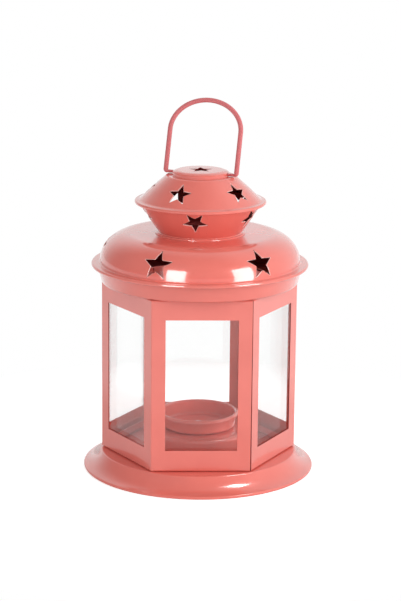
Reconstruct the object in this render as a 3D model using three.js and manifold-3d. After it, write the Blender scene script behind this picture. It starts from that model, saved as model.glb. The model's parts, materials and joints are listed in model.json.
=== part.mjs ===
// A star-pierced tealight lantern of painted sheet steel: a flared base with a candle cup, a
// six-sided glazed body, a domed roof, a vented throat, a conical cap and a wire bail.
// Millimetres, +Z up, standing on z = 0, with one face of the body towards -Y.
import * as THREE from 'three';
import { mergeVertices, toCreasedNormals } from 'three/addons/utils/BufferGeometryUtils.js';
import Module from 'manifold-3d';

// Stock and fits
const SHEET = 0.5; // steel sheet
const GLASS = 2.0; // window glass
const WIRE_R = 1.35; // bail wire
const FIT = 0.25; // gap between neighbouring pieces
const SWIVEL_FIT = 0.2; // gap round a bail foot in its hole

// Candle cup and its rivet
const CUP_BORE_R = 20.5; // takes a tealight
const CUP_DEPTH = 8.2;
const CUP_CORNER = 2.0;
const CUP_ROLL_R = 0.9; // rolled rim
const RIVET_R = 1.6;
const RIVET_HEAD_R = 3.2;
const RIVET_HEAD_H = 0.9;

// Base
const SEAT_Z = 10.2; // flat seat that the body stands on
const SEAT_MARGIN = 0.5; // seat beyond the body's corners
const SEAT_EDGE_R = 1.0;
const FLARE = 9.7; // from the edge of the seat out to the rim
const COVE_STEEP = 62; // slope of the flare under the seat, degrees
const COVE_FLAT = 15; // slope of the flare at the rim, degrees
const COVE_R = 11.5;
const RIM_HEM_R = 0.85; // hem at the rim
const RIM_H = 1.6;
const FOOT_WIDTH = 3.5; // flat underside of the hem
const BOSS_H = 12.3; // raised middle that carries the cup
const BOSS_LEDGE = 8.9; // boss beyond the cup
const BOSS_DRAFT = 3.0;
const BOSS_SHOULDER_R = 3.0;
const BOSS_FOOT_R = 1.5;
const LUG_COUNT = 3; // lanced lugs that centre the body
const LUG_WIDTH = 10.0;
const LUG_H = 6.5;

// Body
const SIDES = 6;
const BODY_APOTHEM = 47.46; // axis to a face
const BODY_H = 96.5;
const FOLD_R = 0.9; // outside of a fold
const LIP_H = 4.6; // depth of the channels that hold the glass
const WINDOW_W = 39.5;
const WINDOW_H = 73.5;
const SILL_H = 11.9; // foot of the body up to a window
const SEAM_TOP = 0.5; // open seam at one corner
const SEAM_BOTTOM = 0.9;
const NOTCH_W = 0.5; // mitre gap between folded flanges
const TAB_W = 12.0; // tabs folded over the collar's floor
const TAB_LEAF = 6.0;

// Collar
const COLLAR_H = 9.9; // floor up to the middle of the eave
const COLLAR_REVEAL = 0.1; // foot of the cone beyond the body's corners
const COLLAR_FLARE = 2.5;
const COLLAR_CORNER = 1.5;
const COLLAR_LAND = 1.0; // floor beyond the folded tabs

// Roof
const EAVE_OVERHANG = 3.2; // eave beyond the collar
const EAVE_WIDTH = 4.6; // eave beyond the dome
const EAVE_FILLET = 2.2;
const ROOF_H = 16.5; // eave up to the flat top
const DOME_W = 16.8; // half axes of the dome's curve
const DOME_H = 16.0;
const DOME_START = 6.5; // angle on the curve where the dome leaves the eave, degrees
const NECK_BEND = 0.8;
const NECK_HOLD = 3.0; // belled end of the neck, inside the throat

// Throat
const THROAT_H = 17.6; // roof up to the middle of the cap's rim
const THROAT_R = 23.2; // cone at the level of its foot
const THROAT_SLOPE = 55.5; // of the cone, degrees from level
const THROAT_FOOT = 2.1; // turned-out foot, from the cone's corner
const THROAT_FILLET = 0.9;
const THROAT_BEND = 1.0;

// Cap
const RIM_OVERHANG = 2.0; // rim beyond the throat's top bend
const CAP_H = 16.7; // rim up to the crown's top
const CAP_RIM_W = 2.6; // flat of the rim
const CAP_RIM_FILLET = 3.0;
const CAP_LEDGE = 3.4; // ledge round the crown, out to the brow
const CAP_LEDGE_FALL = 0.05;
const CAP_BROW_BEND = 1.8;
const CAP_BELLY = 0.2; // bulge of the cone
const CAP_BELLY_BEND = 80;
const CROWN_R = 15.7; // foot of the crown
const CROWN_DROP = 2.95; // foot of the crown below its top
const CROWN_FILLET = 0.5;
const CROWN_DRAFT = 0.7;
const CROWN_SLOPE_W = 2.4; // sloped edge of the crown
const CROWN_SLOPE_H = 1.0;
const CROWN_BEND = 6;

// Stars
const STAR_POINTS = 5;
const STAR_INNER = 0.42; // inner over outer radius
const ROOF_STAR_R = 8.5;
const ROOF_STAR_TURNS = [-95, -27.2, 35.7, 104, 157.5, 211]; // azimuths, degrees
const ROOF_STAR_AT = 30; // angle on the dome's curve, degrees
const CAP_STAR_R = 7.0;
const CAP_STAR_TURNS = [-28, 47.3, 118, 189.5, 260];
const THROAT_STAR_R = 7.1;
const THROAT_STAR_TURNS = [-79.5, -7.5, 61, 136, 208];
const THROAT_STAR_DROP = 6.4; // below the cap's rim
const CROWN_STAR_R = 6.2;

// Bail
const BAIL_STANDOFF = 1.4; // legs beyond the brow of the cap
const BAIL_FOOT = 3.2; // feet inside the crown's wall
const BAIL_FOOT_R = 0.7; // feet, drawn down thinner than the wire
const BAIL_NECK_H = 1.5; // taper from a foot to the wire
const BAIL_ELBOW_R = 2.0;
const BAIL_RISE = 40.9; // pivot up to the top of the bow
const BAIL_BOW_H = 17.2;
const BAIL_LIFT = 0.1; // holes for the feet above the ledge
const BAIL_TURN = -20; // pivot axis from +X, degrees
const BAIL_LEAN = -18; // bail from upright, degrees; negative leans towards +Y

// Fineness of curves
const ROUND = 28; // sides of a wide turned piece
const ROUND_SMALL = 24; // sides of a narrow one
const SAG = 0.15; // most that a chord may cut off an arc in a profile
const BEND_SHARE = 0.9; // most of a straight that the arc at its end may take up
const SAME = 0.01; // points nearer than this are one
const DOME_STEPS = 6;
const CREASE = 30; // edges sharper than this stay sharp, degrees
const BAIL_STEPS = 24;
const ELBOW_STEPS = 4;
const WIRE_SIDES = 8;

const rad = THREE.MathUtils.degToRad;
const faceAngle = 360 / SIDES;
const coral = '#e98079';

// Sizes that follow, from the middle outwards and from the ground up
const cupR = CUP_BORE_R + SHEET;
const bossR = cupR + BOSS_LEDGE;
const bossTop = SEAT_Z + BOSS_H;
const cupBottom = bossTop + FIT;
const wallIn = BODY_APOTHEM - SHEET;
const paneOut = wallIn - FIT;
const paneIn = paneOut - GLASS;
const lipIn = paneIn - FIT - SHEET;
const lugOut = lipIn - FIT;
const bodyCornerR = BODY_APOTHEM / Math.cos(rad(faceAngle / 2));
const seatR = bodyCornerR + SEAT_MARGIN;
const baseR = seatR + FLARE;
const bodyBottom = SEAT_Z + FIT;
const bodyTop = bodyBottom + BODY_H;
const collarBottom = bodyTop + FIT;
const tabTop = collarBottom + SHEET + FIT + SHEET;
const collarFootR = bodyCornerR + COLLAR_REVEAL;
const collarTopR = collarFootR + COLLAR_FLARE;
const hem = SHEET / 2 + FIT + SHEET; // half the height of a hem closed round a flange
const eaveZ = collarBottom + COLLAR_H;
const eaveR = collarTopR + EAVE_OVERHANG;
const domeR = eaveR - EAVE_WIDTH;
const roofTop = eaveZ + hem + ROOF_H;
const domeZ = roofTop - DOME_H;
const throatFootZ = roofTop + FIT + SHEET;
const rimZ = roofTop + THROAT_H;
const throatTopR = coneRadius(rimZ - SHEET / 2);
const rimR = throatTopR + RIM_OVERHANG;
const capTop = rimZ + hem + CAP_H;
const ledgeZ = capTop - CROWN_DROP;
const browR = CROWN_R + CAP_LEDGE;
const footHoleR = BAIL_FOOT_R + SWIVEL_FIT;
const pivotZ = ledgeZ + BAIL_LIFT + footHoleR;
const bailX = browR + BAIL_STANDOFF;
const throughSheet = 4 * SHEET; // drive of a punch that goes through flat sheet

const wasm = await Module();
wasm.setup();

// Outer radius of the throat's cone at a height
function coneRadius(z) {
  return THROAT_R + (z - throatFootZ) / Math.tan(rad(THROAT_SLOPE));
}

// A path through corners [r, z, bend]: a corner with a bend becomes an arc of that radius
function bent(corners) {
  const at = corners.map(([r, z]) => new THREE.Vector2(r, z));
  const path = [];
  corners.forEach(([, , bend], i) => {
    if (!bend) {
      path.push(at[i]);
      return;
    }
    const back = at[i - 1].clone().sub(at[i]);
    const on = at[i + 1].clone().sub(at[i]);
    const turn = Math.PI - Math.abs(back.angleTo(on));
    const room = BEND_SHARE * Math.min(back.length(), on.length());
    const reach = Math.min(bend * Math.tan(turn / 2), room);
    const radius = reach / Math.tan(turn / 2);
    const side = Math.sign(on.cross(back)) || 1;
    const start = at[i].clone().add(back.setLength(reach));
    const inward = new THREE.Vector2(back.y, -back.x).setLength(side * radius);
    const centre = start.clone().add(inward);
    const chord = 2 * Math.acos(1 - Math.min(SAG / radius, 1));
    const steps = Math.ceil(turn / chord);
    for (let k = 0; k <= steps; k++) {
      path.push(start.clone().rotateAround(centre, (side * turn * k) / steps));
    }
  });
  return path.filter((point, i) => i === 0 || point.distanceTo(path[i - 1]) > SAME);
}

// The closed outline of a sheet whose outer face follows a path, with the metal on its left
function sheet(path) {
  const normals = path.slice(1).map((point, i) => {
    const along = point.clone().sub(path[i]).normalize();
    return new THREE.Vector2(-along.y, along.x);
  });
  const inner = path.map((point, i) => {
    const a = normals[Math.max(i - 1, 0)];
    const b = normals[Math.min(i, normals.length - 1)];
    const mitre = a.clone().add(b).multiplyScalar(SHEET / (1 + a.dot(b)));
    return mitre.add(point);
  });
  return [...path, ...inner.reverse(), path[0]];
}

// A closed geometry as a solid, and a solid as a geometry
function solid(geometry) {
  geometry.deleteAttribute('normal');
  geometry.deleteAttribute('uv');
  const welded = mergeVertices(geometry);
  const corners = welded.index.array;
  const triVerts = [];
  for (let i = 0; i < corners.length; i += 3) {
    const [a, b, c] = corners.slice(i, i + 3);
    if (a !== b && b !== c && c !== a) triVerts.push(a, b, c);
  }
  const vertProperties = welded.attributes.position.array;
  return new wasm.Manifold(
    new wasm.Mesh({ numProp: 3, vertProperties, triVerts: new Uint32Array(triVerts) }),
  );
}

function geometryOf(body) {
  const { vertProperties, triVerts } = body.getMesh();
  const geometry = new THREE.BufferGeometry();
  geometry.setAttribute('position', new THREE.BufferAttribute(vertProperties, 3));
  geometry.setIndex(new THREE.BufferAttribute(triVerts, 1));
  return toCreasedNormals(geometry, rad(CREASE));
}

// An outline turned round the axis; azimuth 0 is -Y and azimuth 90 is +X
function revolve(outline, sides = ROUND, turn = 0) {
  return solid(new THREE.LatheGeometry(outline, sides, rad(turn)).rotateX(Math.PI / 2));
}

// A leaf of folded sheet, from its path in (distance from the axis, height)
function leaf(path, width, turn) {
  const depth = { depth: width, bevelEnabled: false };
  const geometry = new THREE.ExtrudeGeometry(new THREE.Shape(sheet(path)), depth);
  return solid(
    geometry
      .translate(0, 0, -width / 2)
      .rotateX(Math.PI / 2)
      .rotateZ(rad(turn - 90)),
  );
}

// A punch: a shape driven along a normal that rises by tilt degrees from level
function punch(shape, depth, radius, height, tilt, turn) {
  const geometry = new THREE.ExtrudeGeometry(shape, { depth, bevelEnabled: false });
  return solid(
    geometry
      .translate(0, 0, -depth / 2)
      .rotateX(rad(90 - tilt))
      .translate(0, -radius, height)
      .rotateZ(rad(turn)),
  );
}

// A ring of like pieces round the axis
function around(count, turn, make) {
  return Array.from({ length: count }, (_, i) => make(turn + (360 * i) / count));
}

function starShape(outer, up = 1) {
  const points = Array.from({ length: 2 * STAR_POINTS }, (_, i) => {
    const reach = i % 2 ? outer * STAR_INNER : outer;
    const angle = (Math.PI * i) / STAR_POINTS;
    return new THREE.Vector2(reach * Math.sin(angle), up * reach * Math.cos(angle));
  });
  return new THREE.Shape(points);
}

function panelShape(width, height) {
  const [x, y] = [width / 2, height / 2];
  return new THREE.Shape().moveTo(-x, -y).lineTo(x, -y).lineTo(x, y).lineTo(-x, y);
}

const cutAll = (body, cutters) => cutters.reduce((rest, cutter) => rest.subtract(cutter), body);
const addAll = (body, others) => others.reduce((sum, other) => sum.add(other), body);

// Base: hemmed rim, coved flare, flat seat, candle boss, and lugs lanced out of the seat
function makeBase() {
  const [steep, flat] = [rad(COVE_STEEP), rad(COVE_FLAT)];
  const drop = SEAT_Z - RIM_H;
  const run = (drop * Math.cos(flat) - FLARE * Math.sin(flat)) / Math.sin(steep - flat);
  const path = bent([
    [baseR - RIM_HEM_R - FOOT_WIDTH, 0],
    [baseR, 0, RIM_HEM_R],
    [baseR, RIM_H, RIM_HEM_R],
    [seatR + run * Math.cos(steep), SEAT_Z - run * Math.sin(steep), COVE_R],
    [seatR, SEAT_Z, SEAT_EDGE_R],
    [bossR + BOSS_DRAFT, SEAT_Z, BOSS_FOOT_R],
    [bossR, bossTop, BOSS_SHOULDER_R],
    [RIVET_R + FIT, bossTop],
  ]);
  const lugPath = [
    new THREE.Vector2(lugOut, SEAT_Z - SHEET),
    new THREE.Vector2(lugOut, SEAT_Z + LUG_H),
  ];
  const slotShape = panelShape(LUG_WIDTH + 2 * SHEET, LUG_H);
  const slotR = lugOut - SHEET - LUG_H / 2;
  const slots = around(LUG_COUNT, faceAngle, (turn) =>
    punch(slotShape, throughSheet, slotR, SEAT_Z, 90, turn),
  );
  const lugs = around(LUG_COUNT, faceAngle, (turn) => leaf(lugPath, LUG_WIDTH, turn));
  return addAll(cutAll(revolve(sheet(path)), slots), lugs);
}

// Cup: drawn from one blank, rim rolled outwards
function makeCup() {
  const rim = cupBottom + SHEET + CUP_DEPTH;
  const roll = CUP_ROLL_R - SHEET / 2;
  return revolve(
    sheet(
      bent([
        [RIVET_R + FIT, cupBottom],
        [cupR, cupBottom, CUP_CORNER],
        [cupR, rim - SHEET, roll],
        [cupR + 2 * roll, rim - SHEET, roll],
        [cupR + 2 * roll, rim - SHEET - 2 * roll],
      ]),
    ),
    ROUND_SMALL,
  );
}

// Rivet: a head under the boss, a shank and a head over the cup's floor
function makeRivet() {
  const low = bossTop - SHEET - FIT;
  const high = cupBottom + SHEET + FIT;
  const outline = bent([
    [0, low - RIVET_HEAD_H],
    [RIVET_HEAD_R, low - RIVET_HEAD_H, RIVET_HEAD_H / 2],
    [RIVET_HEAD_R, low],
    [RIVET_R, low],
    [RIVET_R, high],
    [RIVET_HEAD_R, high],
    [RIVET_HEAD_R, high + RIVET_HEAD_H, RIVET_HEAD_H / 2],
    [0, high + RIVET_HEAD_H],
  ]);
  return revolve(outline, ROUND_SMALL / 2);
}

// Body: a strip folded to a hexagon, with glass channels, windows, one open seam and tabs
function makeBody() {
  const path = bent([
    [lipIn, bodyBottom + LIP_H],
    [lipIn, bodyBottom, FOLD_R],
    [BODY_APOTHEM, bodyBottom, FOLD_R],
    [BODY_APOTHEM, bodyTop, FOLD_R],
    [lipIn, bodyTop, FOLD_R],
    [lipIn, bodyTop - LIP_H],
  ]);
  const toCorner = 1 / Math.cos(rad(faceAngle / 2));
  const outline = sheet(path).map(({ x, y }) => new THREE.Vector2(x * toCorner, y));
  const strip = revolve(outline, SIDES, faceAngle / 2);

  const tabPath = bent([
    [BODY_APOTHEM, bodyTop - LIP_H],
    [BODY_APOTHEM, tabTop, FOLD_R],
    [BODY_APOTHEM - TAB_LEAF, tabTop],
  ]);
  const tabs = around(SIDES, 0, (turn) => leaf(tabPath, TAB_W, turn));

  const windowZ = bodyBottom + SILL_H + WINDOW_H / 2;
  const windowShape = panelShape(WINDOW_W, WINDOW_H);
  const windows = around(SIDES, 0, (turn) =>
    punch(windowShape, throughSheet, BODY_APOTHEM, windowZ, 0, turn),
  );

  const middle = (bodyBottom + bodyTop) / 2;
  const [top, bottom, half] = [SEAM_TOP / 2, SEAM_BOTTOM / 2, BODY_H / 2 + SHEET];
  const seamShape = new THREE.Shape();
  seamShape.moveTo(-bottom, -half).lineTo(bottom, -half).lineTo(top, half).lineTo(-top, half);
  const seam = punch(seamShape, 2 * (bodyCornerR - lipIn), bodyCornerR, middle, 0, faceAngle / 2);

  const flangeW = (wallIn - lipIn) * toCorner;
  const flangeR = lipIn * toCorner + flangeW / 2 - SHEET;
  const notchShape = panelShape(NOTCH_W, LIP_H + SHEET);
  const notches = [bodyBottom + LIP_H / 2, bodyTop - LIP_H / 2].flatMap((z) =>
    around(SIDES, faceAngle / 2, (turn) => punch(notchShape, flangeW, flangeR, z, 0, turn)),
  );
  return cutAll(addAll(strip, tabs), [...windows, seam, ...notches]);
}

// Collar: a pan with a slotted floor, a cone for a wall and a turned-out flange
function makeCollar() {
  const flangeZ = eaveZ - SHEET / 2;
  const path = bent([
    [BODY_APOTHEM - TAB_LEAF - COLLAR_LAND, collarBottom],
    [collarFootR, collarBottom, COLLAR_CORNER],
    [collarTopR, flangeZ, FOLD_R],
    [eaveR - hem, flangeZ],
  ]);
  const slotShape = panelShape(TAB_W + 2 * FIT, SHEET + 2 * FIT);
  const slotR = BODY_APOTHEM - SHEET / 2;
  const slots = around(SIDES, 0, (turn) =>
    punch(slotShape, throughSheet, slotR, collarBottom, 90, turn),
  );
  return cutAll(revolve(sheet(path)), slots);
}

// Roof: a hem closed round the collar's flange, a dome, and a neck belled out in the throat
function makeRoof() {
  const dome = new THREE.EllipseCurve(
    domeR - DOME_W, domeZ, DOME_W, DOME_H, rad(DOME_START), Math.PI / 2,
  );
  const spring = dome.getPoint(0);
  const neckR = coneRadius(throatFootZ + THROAT_FILLET) - SHEET - FIT;
  const slope = [Math.cos(rad(THROAT_SLOPE)), Math.sin(rad(THROAT_SLOPE))];
  const aside = (SHEET + FIT) / slope[1];
  const bellZ = throatFootZ + (neckR + aside - THROAT_R) * Math.tan(rad(THROAT_SLOPE));
  const path = bent([
    [collarTopR + FIT, eaveZ - hem],
    [eaveR, eaveZ - hem, hem],
    [eaveR, eaveZ + hem, hem],
    [spring.x, eaveZ + hem, EAVE_FILLET],
    ...dome.getPoints(DOME_STEPS).map(({ x, y }) => [x, y]),
    [neckR, roofTop, NECK_BEND],
    [neckR, bellZ, NECK_BEND],
    [neckR + NECK_HOLD * slope[0], bellZ + NECK_HOLD * slope[1]],
  ]);
  const at = rad(ROOF_STAR_AT);
  const starR = domeR - DOME_W + DOME_W * Math.cos(at);
  const starZ = domeZ + DOME_H * Math.sin(at);
  const stars = ROOF_STAR_TURNS.map((turn) =>
    punch(starShape(ROOF_STAR_R), DOME_H, starR, starZ, ROOF_STAR_AT, turn),
  );
  return cutAll(revolve(sheet(path)), stars);
}

// Throat: a cone on a turned-out foot, with a flange for the cap's rim
function makeThroat() {
  const path = bent([
    [THROAT_R + THROAT_FOOT, throatFootZ],
    [THROAT_R, throatFootZ, THROAT_FILLET],
    [throatTopR, rimZ - SHEET / 2, THROAT_BEND],
    [rimR - hem, rimZ - SHEET / 2],
  ]);
  const starZ = rimZ - THROAT_STAR_DROP;
  const stars = THROAT_STAR_TURNS.map((turn) =>
    punch(
      starShape(THROAT_STAR_R, -1), 4 * THROAT_STAR_R, coneRadius(starZ), starZ,
      THROAT_SLOPE - 90, turn,
    ),
  );
  return cutAll(revolve(sheet(path), ROUND_SMALL), stars);
}

// Cap: a hem closed round the throat's flange, a cone, a ledge, a crown, stars and bail holes
function makeCap() {
  const edge = [rimR - CAP_RIM_W, rimZ + hem];
  const brow = [browR, ledgeZ - CAP_LEDGE_FALL];
  const middle = [(edge[0] + brow[0]) / 2, (edge[1] + brow[1]) / 2];
  const slope = Math.atan2(brow[1] - edge[1], edge[0] - brow[0]);
  const belly = [middle[0] + CAP_BELLY * Math.sin(slope), middle[1] + CAP_BELLY * Math.cos(slope)];
  const shoulderR = CROWN_R - CROWN_DRAFT;
  const path = bent([
    [coneRadius(rimZ) + FIT, rimZ - hem],
    [rimR, rimZ - hem, hem],
    [rimR, rimZ + hem, hem],
    [...edge, CAP_RIM_FILLET],
    [...belly, CAP_BELLY_BEND],
    [...brow, CAP_BROW_BEND],
    [CROWN_R, ledgeZ, CROWN_FILLET],
    [shoulderR, capTop - CROWN_SLOPE_H, FOLD_R],
    [shoulderR - CROWN_SLOPE_W, capTop, CROWN_BEND],
    [0, capTop],
  ]);
  const stars = CAP_STAR_TURNS.map((turn) =>
    punch(
      starShape(CAP_STAR_R), 2 * CAP_STAR_R, belly[0], belly[1],
      90 - THREE.MathUtils.radToDeg(slope), turn,
    ),
  );
  const crownStar = punch(starShape(CROWN_STAR_R), CROWN_DROP, 0, capTop, 90, 0);
  const holes = new THREE.CylinderGeometry(footHoleR, footHoleR, 2 * bailX, ROUND_SMALL / 2);
  holes.rotateZ(Math.PI / 2).rotateZ(rad(BAIL_TURN)).translate(0, 0, pivotZ);
  return cutAll(revolve(sheet(path), ROUND_SMALL), [...stars, crownStar, solid(holes)]);
}

// A round bar along a path in the XZ plane, with a radius at each point of the path
function bar(path, radii) {
  const spots = [];
  path.forEach((point, i) => {
    const ahead = path[Math.min(i + 1, path.length - 1)];
    const on = ahead.clone().sub(path[Math.max(i - 1, 0)]).normalize();
    for (let k = 0; k < WIRE_SIDES; k++) {
      const angle = (2 * Math.PI * k) / WIRE_SIDES;
      const [out, aside] = [radii[i] * Math.cos(angle), radii[i] * Math.sin(angle)];
      spots.push(point.x + out * on.y, aside, point.y - out * on.x);
    }
  });
  const faces = [];
  for (let i = 1; i < path.length; i++) {
    for (let k = 0; k < WIRE_SIDES; k++) {
      const next = (k + 1) % WIRE_SIDES;
      const [low, high] = [(i - 1) * WIRE_SIDES, i * WIRE_SIDES];
      faces.push(low + k, low + next, high + next, low + k, high + next, high + k);
    }
  }
  const end = (path.length - 1) * WIRE_SIDES;
  for (let k = 2; k < WIRE_SIDES; k++) {
    faces.push(0, k, k - 1, end, end + k - 1, end + k);
  }
  const geometry = new THREE.BufferGeometry();
  geometry.setAttribute('position', new THREE.Float32BufferAttribute(spots, 3));
  return geometry.setIndex(faces);
}

// Bail: one wire, up from a thin turned-in foot, over the bow and down to the other foot
function makeBail() {
  const bend = BAIL_ELBOW_R;
  const legZ = BAIL_RISE - BAIL_BOW_H;
  const elbow = new THREE.EllipseCurve(bailX - bend, bend, bend, bend, rad(-90), 0);
  const bow = new THREE.EllipseCurve(0, legZ, bailX, BAIL_BOW_H, 0, Math.PI);
  const foot = [new THREE.Vector2(CROWN_R - BAIL_FOOT, 0), ...elbow.getPoints(ELBOW_STEPS)];
  const neck = [new THREE.Vector2(bailX, bend + BAIL_NECK_H)];
  const mirror = (points) => points.map(({ x, y }) => new THREE.Vector2(-x, y)).reverse();
  const wire = [...neck, ...bow.getPoints(BAIL_STEPS), ...mirror(neck)];
  const radii = [
    ...foot.map(() => BAIL_FOOT_R),
    ...wire.map(() => WIRE_R),
    ...foot.map(() => BAIL_FOOT_R),
  ];
  return solid(bar([...foot, ...wire, ...mirror(foot)], radii));
}

const paint = new THREE.MeshStandardMaterial({ color: coral, roughness: 0.25, metalness: 0.0 });
const steel = new THREE.MeshStandardMaterial({ color: '#b9b4b1', roughness: 0.35, metalness: 0.9 });
const clear = new THREE.MeshStandardMaterial({
  color: '#e4efe9',
  roughness: 0.05,
  metalness: 0.0,
  transparent: true,
  opacity: 0.3,
});

const lantern = new THREE.Group();

function place(name, geometry, material, parent = lantern) {
  const mesh = new THREE.Mesh(geometry, material);
  mesh.name = name;
  parent.add(mesh);
  return mesh;
}

place('base_plate', geometryOf(makeBase()), paint);
place('candle_cup', geometryOf(makeCup()), paint);
place('cup_rivet', geometryOf(makeRivet()), steel);
place('body_frame', geometryOf(makeBody()), paint);

// Panes: one behind each window, standing in the channels
const paneW = 2 * (paneIn * Math.tan(rad(faceAngle / 2)) - FIT);
const paneH = BODY_H - 2 * (SHEET + FIT);
const paneR = (paneOut + paneIn) / 2;
around(SIDES, 0, (turn) => turn).forEach((turn, i) => {
  const stand = new THREE.Group();
  stand.rotation.z = rad(turn);
  lantern.add(stand);
  const pane = new THREE.BoxGeometry(paneW, GLASS, paneH);
  const mesh = place(`glass_pane_${i + 1}`, pane, clear, stand);
  mesh.position.set(0, -paneR, bodyBottom + BODY_H / 2);
});

place('collar_ring', geometryOf(makeCollar()), paint);
place('roof_dome', geometryOf(makeRoof()), paint);
place('throat_funnel', geometryOf(makeThroat()), paint);
place('top_cap', geometryOf(makeCap()), paint);

const bail = place('bail_handle', geometryOf(makeBail()), paint);
bail.position.z = pivotZ;
bail.rotation.set(rad(BAIL_LEAN), 0, rad(BAIL_TURN), 'ZYX');

export default lantern;
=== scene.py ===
"""Looks of a star-pierced tealight lantern: fine sheet shells, glass, gloss coral paint, studio.

Lengths are millimetres until a mesh, a lamp or a node takes them, and angles are degrees.
"""
import json
import math

import bmesh
import bpy
import numpy as np
from mathutils import Matrix, Vector


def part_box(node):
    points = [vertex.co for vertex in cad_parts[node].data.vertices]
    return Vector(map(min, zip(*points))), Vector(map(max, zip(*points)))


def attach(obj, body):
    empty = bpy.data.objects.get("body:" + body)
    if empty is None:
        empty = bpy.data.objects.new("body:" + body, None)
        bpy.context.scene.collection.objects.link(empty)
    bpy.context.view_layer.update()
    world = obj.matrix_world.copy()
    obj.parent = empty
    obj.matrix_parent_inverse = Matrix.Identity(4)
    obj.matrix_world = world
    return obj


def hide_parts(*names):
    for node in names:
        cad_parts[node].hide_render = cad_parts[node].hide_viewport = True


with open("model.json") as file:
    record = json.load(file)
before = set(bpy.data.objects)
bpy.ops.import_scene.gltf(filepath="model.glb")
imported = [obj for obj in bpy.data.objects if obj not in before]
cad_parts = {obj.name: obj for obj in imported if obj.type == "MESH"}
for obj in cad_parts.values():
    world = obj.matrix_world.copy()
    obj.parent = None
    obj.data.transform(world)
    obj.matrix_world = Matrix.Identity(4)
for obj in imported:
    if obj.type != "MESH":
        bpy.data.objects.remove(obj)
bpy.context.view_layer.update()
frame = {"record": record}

MM = 0.001
X, Y, Z = range(3)
# CUT_EDGE holds the pale painted highlight and INSIDE the dark painted shade
PAINTED, CUT_EDGE, INSIDE = range(3)  # places of the coats in a piece's materials

# Stock and fits
SHEET = 0.5
FIT = 0.25
FOLD_R = 0.9
WIRE_R = 1.35
SWIVEL_FIT = 0.2
SEATED = 0.03  # gap under a turned-down edge that rests on the sheet below
EDGE_ROUND = 0.3  # rounded edge of a punched hole, given the pale coat as a painted highlight
STROKE = 4 * SHEET  # of a punch through flat sheet

# Cup and rivet
CUP_CORNER = 2.0
CUP_ROLL_R = 0.9
RIVET_R = 1.6
RIVET_HEAD_R = 3.2
RIVET_HEAD_H = 0.9

# Base
SEAT_MARGIN = 0.5
SEAT_EDGE_R = 1.0
COVE_STEEP = 62
COVE_FLAT = 15
COVE_R = 11.5
RIM_HEM_R = 0.85
RIM_H = 1.6
FOOT_WIDTH = 3.5
BOSS_LEDGE = 8.9
BOSS_DRAFT = 0.6
BOSS_SHOULDER_R = 2.4
BOSS_FOOT_R = 1.5
LUG_COUNT = 3
LUG_WIDTH = 10.0
LUG_H = 6.5
LUG_CORNER = 1.5

# Body
SIDES = 6
GLASS = 2.0
LIP_H = 4.6
FOLD_LEAST = 0.05  # radius left at the corners of the lips
WINDOW_W = 39.5
WINDOW_H = 73.5
SILL_H = 11.9
SEAM_TOP = 0.3
SEAM_BOTTOM = 0.7
SEAM_FILL = 0.15  # solder in the bottom of the seam
NOTCH_W = 0.5
TAB_W = 12.0
TAB_LEAF = 6.0
TAB_INSET = 0.02
PANE_ARRIS = 0.3  # ground edge of a pane

# Collar and roof
COLLAR_FLARE = 2.5
COLLAR_CORNER = 1.5
COLLAR_LAND = 1.0
EAVE_OVERHANG = 3.2
EAVE_WIDTH = 4.6
EAVE_FILLET = 0.9
DOME_W = 16.8
DOME_H = 16.0
DOME_START = 6.5
DOME_STEPS = 40
NECK_BEND = 0.8
NECK_HOLD = 3.0

# Throat and cap
THROAT_R = 23.2
THROAT_SLOPE = 55.5
THROAT_FOOT = 2.1
THROAT_FILLET = 0.35
THROAT_BEND = 1.0
CAP_RIM_W = 2.6
CAP_RIM_FILLET = 3.0
CAP_LEDGE = 3.4
CAP_LEDGE_FALL = 0.05
CAP_BROW_BEND = 1.8
CAP_BELLY = 0.2
CAP_BELLY_BEND = 80
CROWN_R = 15.7
CROWN_DROP = 2.95
CROWN_FILLET = 0.2
CROWN_DRAFT = 0.05
CROWN_SLOPE_W = 2.4
CROWN_SLOPE_H = 1.0
CROWN_BEND = 6
CROWN_EYE = 1.0  # start of the crown's profile, inside its star

# Stars
STAR_POINTS = 5
STAR_INNER = 0.42
STAR_TIP_R = 0.1
ROOF_STAR_R = 8.5
ROOF_STAR_TURNS = (-95, -27.2, 35.7, 104, 157.5, 211)
ROOF_STAR_AT = 30
CAP_STAR_R = 7.0
CAP_STAR_TURNS = (-28, 47.3, 118, 189.5, 260)
THROAT_STAR_R = 7.1
THROAT_STAR_TURNS = (-79.5, -7.5, 61, 136, 208)
THROAT_STAR_DROP = 6.4
CROWN_STAR_R = 7.2

# Bail
BAIL_STANDOFF = 1.4
BAIL_FOOT = 3.2
BAIL_FOOT_R = 0.7
BAIL_ELBOW_R = 1.1
BAIL_BOW_H = 17.2
BAIL_LEAN = -18

# Fineness
ROUND = 192  # sides of a turned piece
ROUND_SMALL = 48
ARC = 7.5  # turn of one chord in a profile's arc
ARC_SHARE = 0.9  # most of a straight that the arc at its end may take
FOLD_STEPS = 6
BEVEL_STEPS = 2
WIRE_SIDES = 28
WIRE_STEP = 0.8
ELBOW_STEPS = 10
WELD = 1e-4  # points of a turned piece closer than this become one
SMOOTH = 35  # edges sharper than this stay sharp
ON_SURFACE = 0.15  # most that a face of a turned piece may depart from its outline
FACING_WEIGHT = 2  # of a face's direction against its distance, in that measure
TINY = 1e-9  # least divisor


def top(node, axis=Z):
    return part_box(node)[1][axis] / MM


def bottom(node, axis=Z):
    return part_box(node)[0][axis] / MM


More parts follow.
